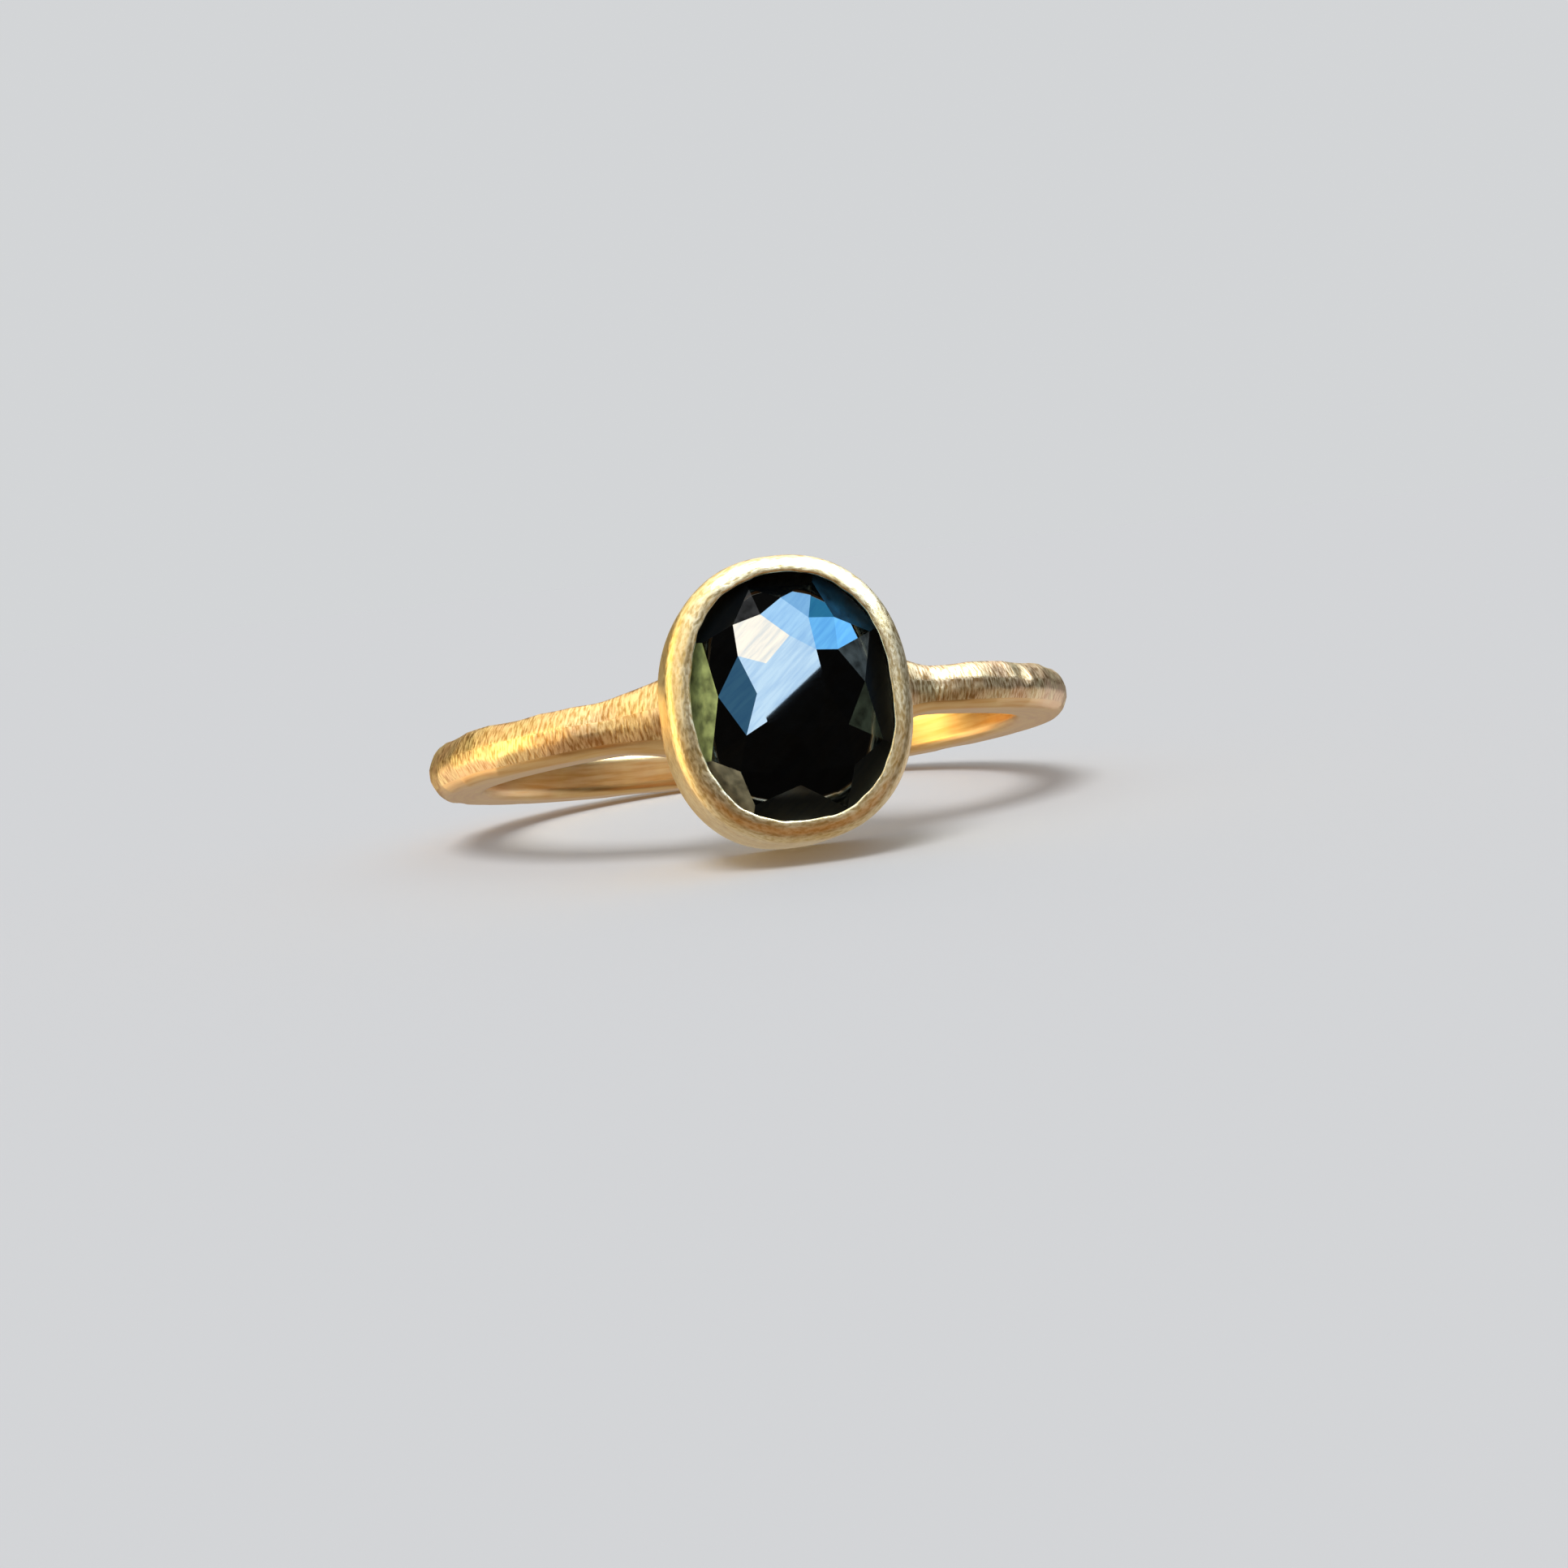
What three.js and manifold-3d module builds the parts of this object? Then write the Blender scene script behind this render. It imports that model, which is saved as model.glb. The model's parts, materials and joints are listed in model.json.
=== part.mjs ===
// Diamond ring: a hammered gold shank soldered to an oval bezel cup that holds one rose-cut stone.
// Millimetres. The ring is drawn with the finger along Z and the stone facing -Y, and then laid on its
// side: it leans on the lower edge of the bezel and on the back of the shank.

import * as THREE from 'three';
import { mergeVertices } from 'three/addons/utils/BufferGeometryUtils.js';
import Module from 'manifold-3d';

// Driving dimensions

const FINGER_BORE = 17; // inside diameter of the hoop
const SHANK_WIDTH = 1.5; // along the finger
const SHANK_THICKNESS = 1.6; // across the wall of the hoop
const SHANK_BEVEL = 0.42; // breadth of the hammered bevel at each edge of the outer face
const BEVEL_DEPTH = 0.32; // how far that bevel falls away towards the finger
const BEVEL_SWELL = 0.03; // how far it bulges in its middle
const SHANK_EDGE = 0.28; // rounding of the edges that touch the finger
const SHANK_CROWN = 0.07; // how far the outer face swells in its middle
const HAMMER_BLOW = 2.2; // spacing of the hammer marks round the hoop
const HAMMER_DEPTH = 0.07; // depth of one hammer mark
const SOLDER_REACH = 0.75; // length of the solder fillet on each arm
const SOLDER_FLARE = 0.24; // how far the fillet widens the arm at the cup
const SOLDER_EMBED = 0.15; // how far an arm runs into the wall of the cup

const STONE_WIDTH = 5.6; // across the finger
const STONE_HEIGHT = 6.8; // along the finger
const STONE_SQUARENESS = 2.3; // exponent of the girdle oval, 2 for an ellipse
const STAR_SLOPE = 18; // degrees, facets round the table
const BREAK_SLOPE = 36; // degrees, ridges that run down to the girdle
const GIRDLE = 0.22; // least thickness of the girdle

const BEZEL_WALL = 0.3; // wall of the cup beside the girdle
const LIP_REACH = 0.25; // how far the lip is turned in over the stone
const LIP_EDGE = 0.14; // thickness of the lip's edge
const SHOULDER = 0.5; // height of the rounded shoulder under the rim
const SEAT_LEDGE = 0.5; // width of the ledge that the stone sits on
const BACK_PLATE = 0.8; // thickness of the closed back
const BACK_EDGE = 0.12; // chamfer round the back plate
const RIM_STAND = 3.55; // from the finger to the rim of the cup
const SETTING_CLEARANCE = 0.1; // between the stone and the metal
const SETTING_DROP = 0.15; // how far below the middle of the shank the cup is soldered

// Shares of the shank's width and thickness along the hoop, from the left joint to the right one.
const SHANK_SHAPE = [
  { along: 0, width: 0.98, thickness: 0.97 },
  { along: 0.06, width: 1.03, thickness: 1 },
  { along: 0.17, width: 1.07, thickness: 1.03 },
  { along: 0.34, width: 1.02, thickness: 1 },
  { along: 0.5, width: 0.97, thickness: 0.97 },
  { along: 0.68, width: 1, thickness: 1 },
  { along: 0.86, width: 0.96, thickness: 1.04 },
  { along: 0.93, width: 0.93, thickness: 1 },
  { along: 0.97, width: 0.87, thickness: 0.93 },
  { along: 1, width: 0.9, thickness: 0.95 },
];

// How irregular the hammer marks are, in shares of their spacing or of the shank's width, and the turn in
// radians from one mark to the next that makes each of these vary.
const HAMMER_MARKS = {
  wander: { share: 0.45, turn: 2.4 },
  drift: { share: 0.25, turn: 3.7 },
  reach: { share: 0.62, spread: 0.25, turn: 5.1 },
  force: { share: 0.75, spread: 0.25, turn: 1.9 },
  breadth: 0.6,
};

// The stone's cut, one row for each kite facet, counter-clockwise from the right as the stone is seen.
// Each corner is [across, along the finger] in shares of half the stone's width and height. tip is the
// kite's corner on the table and outer its far corner. side is the corner that it shares with the next
// kite, and base the one beyond it, near the girdle.
const CUT = [
  { at: 'right', tip: [0.29, 0.03], outer: [0.69, 0.04], side: [0.46, 0.3], base: [0.83, 0.44] },
  { at: 'high right', tip: [0.25, 0.31], outer: [0.48, 0.56], side: [0.23, 0.57], base: [0.35, 0.88] },
  { at: 'top', tip: [0.02, 0.44], outer: [0.01, 0.76], side: [-0.21, 0.64], base: [-0.26, 0.87] },
  { at: 'high left', tip: [-0.23, 0.25], outer: [-0.47, 0.59], side: [-0.47, 0.34], base: [-0.76, 0.5] },
  { at: 'left', tip: [-0.35, 0.03], outer: [-0.69, 0.06], side: [-0.49, -0.27], base: [-0.82, -0.41] },
  { at: 'low left', tip: [-0.29, -0.19], outer: [-0.58, -0.53], side: [-0.29, -0.57], base: [-0.47, -0.79] },
  { at: 'bottom', tip: [0.01, -0.36], outer: [-0.04, -0.69], side: [0.16, -0.59], base: [0.4, -0.9] },
  { at: 'low right', tip: [0.17, -0.28], outer: [0.49, -0.59], side: [0.47, -0.28], base: [0.82, -0.41] },
];

// How finely the curves are divided
const SHANK_STATIONS = 104;
const FILLET_STATIONS = 5;
const OVAL_SIDES = 64;
const SHOULDER_STEPS = 5;
const GIRDLE_STEPS = 8;
const MERGE_DISTANCE = 1e-5;
const HALVINGS = 40;

// Sizes that follow from them

const boreRadius = FINGER_BORE / 2;
const bezelWidth = STONE_WIDTH + 2 * (SETTING_CLEARANCE + BEZEL_WALL);
const bezelHeight = STONE_HEIGHT + 2 * (SETTING_CLEARANCE + BEZEL_WALL);
const rimLevel = boreRadius + RIM_STAND;
const backLevel = Math.sqrt(boreRadius ** 2 - (bezelWidth / 2) ** 2);
const lipInset = BEZEL_WALL + LIP_REACH;

const wasm = await Module();
wasm.setup();

// A point of an oval at a turn in radians, with half sizes a across and b along the finger.
function ovalPoint(a, b, turn) {
  const c = Math.cos(turn);
  const s = Math.sin(turn);
  const power = 2 / STONE_SQUARENESS;
  return [Math.sign(c) * a * Math.abs(c) ** power, Math.sign(s) * b * Math.abs(s) ** power];
}

// A point of the setting. level counts from the finger's axis towards the viewer.
function settingPoint(across, along, level) {
  return new THREE.Vector3(across, -level, along - SETTING_DROP);
}

// Collects the faces of one closed body. Every face lists its corners counter-clockwise from outside.
class Faces {
  constructor() {
    this.corners = [];
  }

  add(...points) {
    for (let i = 2; i < points.length; i += 1) {
      this.corners.push(points[0], points[i - 1], points[i]);
    }
  }

  // Quads between two rings of as many points. The first ring lies on the left of the way round.
  band(first, second) {
    first.forEach((point, i) => {
      const next = (i + 1) % first.length;
      this.add(point, first[next], second[next]);
      this.add(point, second[next], second[i]);
    });
  }

  cap(centre, ring) {
    ring.forEach((point, i) => this.add(centre, point, ring[(i + 1) % ring.length]));
  }

  geometry(placed = (point) => point) {
    const shape = new THREE.BufferGeometry().setFromPoints(this.corners.map(placed));
    return mergeVertices(shape, MERGE_DISTANCE);
  }
}

// Shank

// Blends the shank's shares smoothly between the rows of its table.
function shankShares(along) {
  const last = SHANK_SHAPE.length - 1;
  const after = Math.min(last, Math.max(1, SHANK_SHAPE.findIndex((row) => row.along >= along)));
  const from = SHANK_SHAPE[after - 1];
  const to = SHANK_SHAPE[after];
  const blend = THREE.MathUtils.smoothstep(along, from.along, to.along);
  return {
    width: THREE.MathUtils.lerp(from.width, to.width, blend),
    thickness: THREE.MathUtils.lerp(from.thickness, to.thickness, blend),
  };
}

// Outline of the shank's section: [out from the bore, along the finger], counter-clockwise. The outer
// face is a shallow crown between two hammered bevels, and the edges at the finger are rounded.
function shankSection(width, thickness) {
  const half = width / 2;
  const face = half - SHANK_BEVEL;
  const bevelFoot = thickness - BEVEL_DEPTH;
  const soft = SHANK_EDGE * (1 - Math.SQRT1_2);
  const upper = [
    [thickness + SHANK_CROWN, face / 2],
    [thickness, face],
    [thickness - BEVEL_DEPTH / 2 + BEVEL_SWELL, face + SHANK_BEVEL / 2 + BEVEL_SWELL],
    [bevelFoot, half],
    [(bevelFoot + SHANK_EDGE) / 2, half],
    [SHANK_EDGE, half],
    [soft, half - soft],
    [0, half - SHANK_EDGE],
  ];
  const lower = upper.map(([out, along]) => [out, -along]).reverse();
  return [...upper, ...lower];
}

// How deep the hammer has pressed the outer face in, at a length along the hoop and a place across it.
function hammerMark(length, across, arcLength) {
  const { wander, drift, reach, force, breadth } = HAMMER_MARKS;
  const marks = Math.round(arcLength / HAMMER_BLOW);
  const spacing = arcLength / marks;
  let depth = 0;
  for (let i = 0; i <= marks; i += 1) {
    const side = wander.share * SHANK_WIDTH * Math.sin(i * wander.turn);
    const centre = (i + drift.share * Math.sin(i * drift.turn)) * spacing;
    const size = reach.share * spacing * (1 + reach.spread * Math.cos(i * reach.turn));
    const away = Math.hypot((length - centre) / size, (across - side) / (breadth * SHANK_WIDTH));
    const blow = HAMMER_DEPTH * (force.share + force.spread * Math.sin(i * force.turn));
    depth = Math.max(depth, blow * (1 - away * away));
  }
  return depth;
}

// Places round the hoop where a section is drawn, in shares from joint to joint, closer in the fillets.
function shankPlaces(arcLength) {
  const fillet = SOLDER_REACH / arcLength;
  const places = [0];
  for (let i = 1; i <= FILLET_STATIONS; i += 1) {
    places.push((fillet * i) / FILLET_STATIONS);
  }
  const middle = SHANK_STATIONS - 2 * FILLET_STATIONS;
  for (let i = 1; i <= middle; i += 1) {
    places.push(fillet + ((1 - 2 * fillet) * i) / middle);
  }
  for (let i = FILLET_STATIONS - 1; i >= 0; i -= 1) {
    places.push(1 - (fillet * i) / FILLET_STATIONS);
  }
  return places;
}

function middleOf(ring) {
  const sum = ring.reduce((total, point) => total.add(point), new THREE.Vector3());
  return sum.divideScalar(ring.length);
}

function shank() {
  const outer = boreRadius + SHANK_THICKNESS;
  const wallAngle = Math.asin(bezelWidth / 2 / outer);
  const endAngle = Math.asin((bezelWidth / 2 - SOLDER_EMBED) / outer);
  const arcLength = 2 * (Math.PI - wallAngle) * outer;
  const ringAt = (angle, along) => {
    const shares = shankShares(along);
    const toJoint = (Math.min(along, 1 - along) * arcLength) / SOLDER_REACH;
    const flare = toJoint < 1 ? SOLDER_FLARE * (1 - toJoint) ** 2 : 0;
    const width = SHANK_WIDTH * shares.width + 2 * flare;
    const thickness = SHANK_THICKNESS * shares.thickness + flare;
    return shankSection(width, thickness).map(([out, across]) => {
      const struck = THREE.MathUtils.smoothstep(out, thickness / 2, thickness - BEVEL_DEPTH / 2);
      const radius = boreRadius + out - struck * hammerMark(along * arcLength, across, arcLength);
      return new THREE.Vector3(radius * Math.sin(angle), -radius * Math.cos(angle), across);
    });
  };

  const open = shankPlaces(arcLength).map((along) =>
    ringAt(-wallAngle - along * 2 * (Math.PI - wallAngle), along),
  );
  const rings = [ringAt(-endAngle, 0), ...open, ringAt(endAngle - 2 * Math.PI, 1)];

  const faces = new Faces();
  for (let i = 1; i < rings.length; i += 1) {
    faces.band(rings[i - 1], rings[i]);
  }
  faces.cap(middleOf(rings[0]), [...rings[0]].reverse());
  faces.cap(middleOf(rings.at(-1)), rings.at(-1));
  return faces.geometry();
}

// Stone

const place = ([across, along], level) =>
  new THREE.Vector3((across * STONE_WIDTH) / 2, level, (along * STONE_HEIGHT) / 2);

// Level at which a plane through three points passes over a place.
function levelOn(points, spot) {
  const plane = new THREE.Plane().setFromCoplanarPoints(...points);
  return -(plane.constant + plane.normal.x * spot.x + plane.normal.z * spot.z) / plane.normal.y;
}

// The crown's corners, with levels counted from the table: the stars round the table have one slope, the
// kites are flat between them, and the ridges below them have one slope down to the girdle.
function crownCorners() {
  const count = CUT.length;
  const tips = CUT.map((row) => place(row.tip, 0));
  const sides = CUT.map((row, k) => {
    const side = place(row.side, 0);
    const edge = new THREE.Line3(tips[k], tips[(k + 1) % count]);
    const foot = edge.closestPointToPoint(side, false, new THREE.Vector3());
    side.y = -Math.tan(THREE.MathUtils.degToRad(STAR_SLOPE)) * side.distanceTo(foot);
    return side;
  });
  const outers = CUT.map((row, k) => {
    const outer = place(row.outer, 0);
    outer.y = levelOn([tips[k], sides[(k + count - 1) % count], sides[k]], outer);
    return outer;
  });
  const girdles = CUT.map((row, k) => {
    const run = place(row.base, sides[k].y).distanceTo(sides[k]);
    return place(row.base, sides[k].y - Math.tan(THREE.MathUtils.degToRad(BREAK_SLOPE)) * run);
  });
  return { tips, sides, outers, girdles };
}

const crown = crownCorners();

// The lowest facets: each holds one kite's outer corner and the girdle corners on both sides of it.
const girdleFacets = CUT.map((row, k) => {
  const before = crown.girdles[(k + CUT.length - 1) % CUT.length];
  return [before, crown.outers[k], crown.girdles[k]];
});

// A point of the girdle's upper edge, where the lower facets meet the oval side of the stone.
function girdlePoint(turn) {
  const [across, along] = ovalPoint(STONE_WIDTH / 2, STONE_HEIGHT / 2, turn);
  const spot = new THREE.Vector3(across, 0, along);
  spot.y = Math.min(...girdleFacets.map((facet) => levelOn(facet, spot)));
  return spot;
}

// The turn at which the ridge between lower facets k and k + 1 meets the oval.
function ridgeTurn(k) {
  const next = girdleFacets[(k + 1) % CUT.length];
  const corner = crown.girdles[k];
  const guess = Math.atan2(corner.z / STONE_HEIGHT, corner.x / STONE_WIDTH);
  let low = guess - Math.PI / CUT.length;
  let high = guess + Math.PI / CUT.length;
  for (let i = 0; i < HALVINGS; i += 1) {
    const turn = (low + high) / 2;
    const [across, along] = ovalPoint(STONE_WIDTH / 2, STONE_HEIGHT / 2, turn);
    const spot = new THREE.Vector3(across, 0, along);
    if (levelOn(girdleFacets[k], spot) < levelOn(next, spot)) {
      low = turn;
    } else {
      high = turn;
    }
  }
  return (low + high) / 2;
}

// For each lower facet, its stretch of the girdle's upper edge, counter-clockwise, ridge to ridge.
const girdleArcs = CUT.map((row, k) => {
  const from = ridgeTurn((k + CUT.length - 1) % CUT.length);
  const sweep = THREE.MathUtils.euclideanModulo(ridgeTurn(k) - from, 2 * Math.PI);
  return Array.from({ length: GIRDLE_STEPS + 1 }, (_, i) => girdlePoint(from + (sweep * i) / GIRDLE_STEPS));
});

const girdleLevels = girdleArcs.flat().map((point) => point.y);
const girdleTop = Math.max(...girdleLevels);
const stoneBackLevel = Math.min(...girdleLevels) - GIRDLE;

// How high the crown's ridges reach, below the table, under the edge of the bezel's lip.
const crownAtLip = Math.max(
  ...crown.girdles.map((corner, k) => {
    const turn = ridgeTurn(k);
    const [across] = ovalPoint(STONE_WIDTH / 2 - LIP_REACH, STONE_HEIGHT / 2 - LIP_REACH, turn);
    const ridge = girdlePoint(turn);
    const share = THREE.MathUtils.clamp((ridge.x - across) / (ridge.x - corner.x), 0, 1);
    return THREE.MathUtils.lerp(ridge.y, corner.y, share);
  }),
);

const tableLevel = rimLevel - LIP_EDGE - SETTING_CLEARANCE - crownAtLip;

function stone() {
  const count = CUT.length;
  const { tips, sides, outers, girdles } = crown;
  const faces = new Faces();
  faces.add(...tips);
  for (let k = 0; k < count; k += 1) {
    const before = (k + count - 1) % count;
    const after = (k + 1) % count;
    faces.add(tips[after], tips[k], sides[k]);
    faces.add(tips[k], sides[before], outers[k], sides[k]);
    faces.add(sides[k], outers[k], girdles[k]);
    faces.add(sides[k], girdles[k], outers[after]);
    faces.add(outers[k], girdles[before], ...girdleArcs[k], girdles[k]);
  }
  const upper = girdleArcs.flatMap((arc) => arc.slice(0, -1));
  const back = upper.map((point) => new THREE.Vector3(point.x, stoneBackLevel, point.z));
  faces.band(back, upper);
  faces.cap(new THREE.Vector3(0, stoneBackLevel, 0), [...back].reverse());
  return faces.geometry((point) => settingPoint(point.x, point.z, tableLevel + point.y));
}

// Bezel cup

// The cup's profile from its flat back, round the wall and the lip, down to its floor: [inset from the
// outer wall, level].
function cupProfile() {
  const seat = tableLevel + stoneBackLevel - SETTING_CLEARANCE;
  const shoulder = Array.from({ length: SHOULDER_STEPS + 1 }, (_, i) => {
    const turn = (Math.PI / 2) * (i / SHOULDER_STEPS);
    return [lipInset * (1 - Math.cos(turn)), rimLevel - SHOULDER * (1 - Math.sin(turn))];
  });
  const ledge = BEZEL_WALL + SETTING_CLEARANCE + SEAT_LEDGE;
  return [
    [BACK_EDGE, backLevel],
    [0, backLevel + BACK_EDGE],
    ...shoulder,
    [lipInset, rimLevel - LIP_EDGE],
    [BEZEL_WALL, tableLevel + girdleTop + SETTING_CLEARANCE],
    [BEZEL_WALL, seat],
    [ledge, seat],
    [ledge, backLevel + BACK_PLATE],
  ];
}

function bezelCup() {
  const profile = cupProfile();
  const ovals = profile.map(([inset, level]) =>
    Array.from({ length: OVAL_SIDES }, (_, i) => {
      const turn = (2 * Math.PI * i) / OVAL_SIDES;
      return settingPoint(...ovalPoint(bezelWidth / 2 - inset, bezelHeight / 2 - inset, turn), level);
    }),
  );
  const faces = new Faces();
  faces.cap(settingPoint(0, 0, backLevel), [...ovals[0]].reverse());
  for (let i = 1; i < ovals.length; i += 1) {
    faces.band(ovals[i - 1], ovals[i]);
  }
  faces.cap(settingPoint(0, 0, backLevel + BACK_PLATE), ovals.at(-1));
  return faces.geometry();
}

// Joining

function toManifold(geometry) {
  const mesh = new wasm.Mesh({
    numProp: 3,
    vertProperties: new Float32Array(geometry.attributes.position.array),
    triVerts: new Uint32Array(geometry.index.array),
  });
  return new wasm.Manifold(mesh);
}

function toGeometry(solid) {
  const mesh = solid.getMesh();
  const geometry = new THREE.BufferGeometry();
  geometry.setAttribute('position', new THREE.BufferAttribute(mesh.vertProperties, 3));
  geometry.setIndex(new THREE.BufferAttribute(mesh.triVerts, 1));
  return geometry;
}

function shankAndBezel() {
  return toGeometry(toManifold(shank()).add(toManifold(bezelCup())));
}

function named(name, geometry, material) {
  const shaded = geometry.toNonIndexed();
  shaded.computeVertexNormals();
  const mesh = new THREE.Mesh(shaded, material);
  mesh.name = name;
  return mesh;
}

// Resting on its side

// The lean at which the lowest points of the front and back halves are level, in radians.
function restLean(points) {
  const lowest = (lean, front) => {
    let least = Infinity;
    for (let i = 0; i < points.count; i += 1) {
      const y = points.getY(i);
      if (y < 0 === front) {
        least = Math.min(least, points.getZ(i) * Math.cos(lean) - y * Math.sin(lean));
      }
    }
    return least;
  };
  let low = 0;
  let high = Math.PI / 4;
  for (let i = 0; i < HALVINGS; i += 1) {
    const lean = (low + high) / 2;
    if (lowest(lean, true) < lowest(lean, false)) {
      low = lean;
    } else {
      high = lean;
    }
  }
  return (low + high) / 2;
}

const metal = named(
  'shank_and_bezel',
  shankAndBezel(),
  new THREE.MeshStandardMaterial({ color: 0xc9a15c, metalness: 1, roughness: 0.38 }),
);
const diamond = named(
  'diamond',
  stone(),
  new THREE.MeshStandardMaterial({ color: 0x0b0c10, metalness: 0, roughness: 0.06 }),
);

const leaning = new THREE.Group();
leaning.rotation.x = -restLean(metal.geometry.attributes.position);
leaning.add(metal, diamond);

const ring = new THREE.Group();
ring.add(leaning);
ring.updateMatrixWorld(true);
const box = new THREE.Box3().setFromObject(leaning, true);
leaning.position.set(-(box.min.x + box.max.x) / 2, -(box.min.y + box.max.y) / 2, -box.min.z);

export default ring;
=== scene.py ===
"""A gold ring with a dark rose-cut diamond in an oval bezel, lying on its side on a pale studio floor.

The shank and the bezel cup are rebuilt here in fine mesh: hammered facets, solder fillets and a rolled lip.
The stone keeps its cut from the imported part. Sizes are in millimetres until a piece is laid in place.
"""

import json
import math

import bpy
import numpy as np
from mathutils import Matrix, Vector


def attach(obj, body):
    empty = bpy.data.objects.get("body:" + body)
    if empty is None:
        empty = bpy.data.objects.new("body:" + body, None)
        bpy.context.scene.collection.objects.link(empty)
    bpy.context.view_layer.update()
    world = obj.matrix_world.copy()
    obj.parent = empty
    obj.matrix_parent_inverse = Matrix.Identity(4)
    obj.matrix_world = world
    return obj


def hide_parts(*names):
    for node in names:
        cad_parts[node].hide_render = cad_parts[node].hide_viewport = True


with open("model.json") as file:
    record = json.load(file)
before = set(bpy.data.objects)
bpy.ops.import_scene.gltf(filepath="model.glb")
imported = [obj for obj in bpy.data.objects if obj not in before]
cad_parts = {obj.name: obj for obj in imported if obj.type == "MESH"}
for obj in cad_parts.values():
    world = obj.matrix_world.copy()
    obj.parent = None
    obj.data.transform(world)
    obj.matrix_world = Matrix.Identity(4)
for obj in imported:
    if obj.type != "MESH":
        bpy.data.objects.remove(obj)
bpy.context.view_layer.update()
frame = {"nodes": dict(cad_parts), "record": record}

MM = 0.001


# Sizes of the ring in mm, as the part has them

BORE_RADIUS = 8.5
SHANK_WIDTH = 1.5
SHANK_THICKNESS = 1.6
SHANK_BEVEL = 0.42
BEVEL_DEPTH = 0.32
BEVEL_SWELL = 0.03
SHANK_EDGE = 0.28
SHANK_CROWN = 0.07

CUP_HALF_WIDTH = 3.2
CUP_HALF_HEIGHT = 3.8
CUP_SQUARENESS = 2.3
CUP_WALL = 0.3
BACK_LEVEL = 7.875
BACK_EDGE = 0.12
BACK_PLATE = 0.8
RIM_LEVEL = 12.05
SHOULDER = 0.5
LIP_INSET = 0.55
LIP_EDGE = 0.14
LIP_ROOT_LEVEL = 11.6
SEAT_LEVEL = 10.55
SEAT_INSET = 0.9
SETTING_DROP = 0.15


# Laying the ring down: its lean and its place come from the flat back of the cup, which the record names


def turned(axis, degrees):
    return np.array(Matrix.Rotation(math.radians(degrees), 3, axis))


CUP_BACK = frame["record"]["mounts"][0]
LEAN = math.degrees(math.atan2(CUP_BACK["axis"][2], CUP_BACK["axis"][1]))
LYING = turned("X", LEAN)
LYING_PLACE = np.array(CUP_BACK["pos_m"]) / MM - LYING @ np.array([0, -BACK_LEVEL, -SETTING_DROP])


def lay(points):
    """Points of the ring, in mm with the finger along Z and the stone towards -Y, as they lie, in metres."""
    return (np.asarray(points) @ LYING.T + LYING_PLACE) * MM


# The camera, fitted to the outlines of the ring in the photo: lens and sensor in mm, turns in degrees, the
# middle of the hoop in mm to the right of the camera, ahead of it and above it, and its clipping in metres

CAMERA_LENS = 44.72
CAMERA_SENSOR = 36
CAMERA_YAW = 6.773
CAMERA_PITCH = -3.685
CAMERA_ROLL = -7.723
HOOP_IN_VIEW = (-1.108, 62.716, 1.49)
CAMERA_CLIP = (0.001, 20)


def place_camera():
    to_view = turned("Y", CAMERA_ROLL) @ turned("X", CAMERA_PITCH) @ turned("Z", CAMERA_YAW)
    eye = lay(-to_view.T @ np.array(HOOP_IN_VIEW))
    right, ahead, up = (LYING @ to_view.T).T
    data = bpy.data.cameras.new("camera")
    data.lens = CAMERA_LENS
    data.sensor_width = CAMERA_SENSOR
    data.clip_start, data.clip_end = CAMERA_CLIP
    camera = bpy.data.objects.new("camera", data)
    camera.matrix_world = Matrix.Translation(eye) @ Matrix(np.column_stack([right, up, -ahead])).to_4x4()
    bpy.context.collection.objects.link(camera)
    bpy.context.scene.camera = camera


place_camera()


# Materials

# The colour sockets of a Mix node, which go by number because their names repeat.
MIX_SHARE, MIX_FIRST, MIX_SECOND, MIX_RESULT = 0, 6, 7, 2


def linear(colour):
    """An sRGB hex colour as linear red, green and blue, with alpha 1."""
    values = [int(colour[i : i + 2], 16) / 255 for i in (1, 3, 5)]
    return [v / 12.92 if v <= 0.04045 else ((v + 0.055) / 1.055) ** 2.4 for v in values] + [1.0]


def add(tree, kind, inputs=None, stops=(), **properties):
    """Adds a node with its properties. inputs gives each socket another node's output or a value, and stops
    are the places and colours of a ramp, which starts with two."""
    node = tree.nodes.new(kind)
    for name, value in properties.items():
        setattr(node, name, value)
    for socket, source in (inputs or {}).items():
        if isinstance(source, bpy.types.NodeSocket):
            tree.links.new(source, node.inputs[socket])
        else:
            node.inputs[socket].default_value = source
    for place, (position, colour) in enumerate(stops):
        elements = node.color_ramp.elements
        element = elements[place] if place < 2 else elements.new(position)
        element.position, element.color = position, linear(colour)
    return node


def new_material(name):
    material = bpy.data.materials.new(name)
    material.use_nodes = True
    material.node_tree.nodes.clear()
    return material, material.node_tree


# How many patches of hue a mm of hand-worked gold has, and where the noise of the patches and of the brush
# marks turns from one tone to the other.
PATCHES_PER_MM = 0.9
HUE_TURNS = (0.35, 0.65)
GROOVE_TURNS = (0.36, 0.58)
WEAR_TURNS = (0.3, 0.7)


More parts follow.
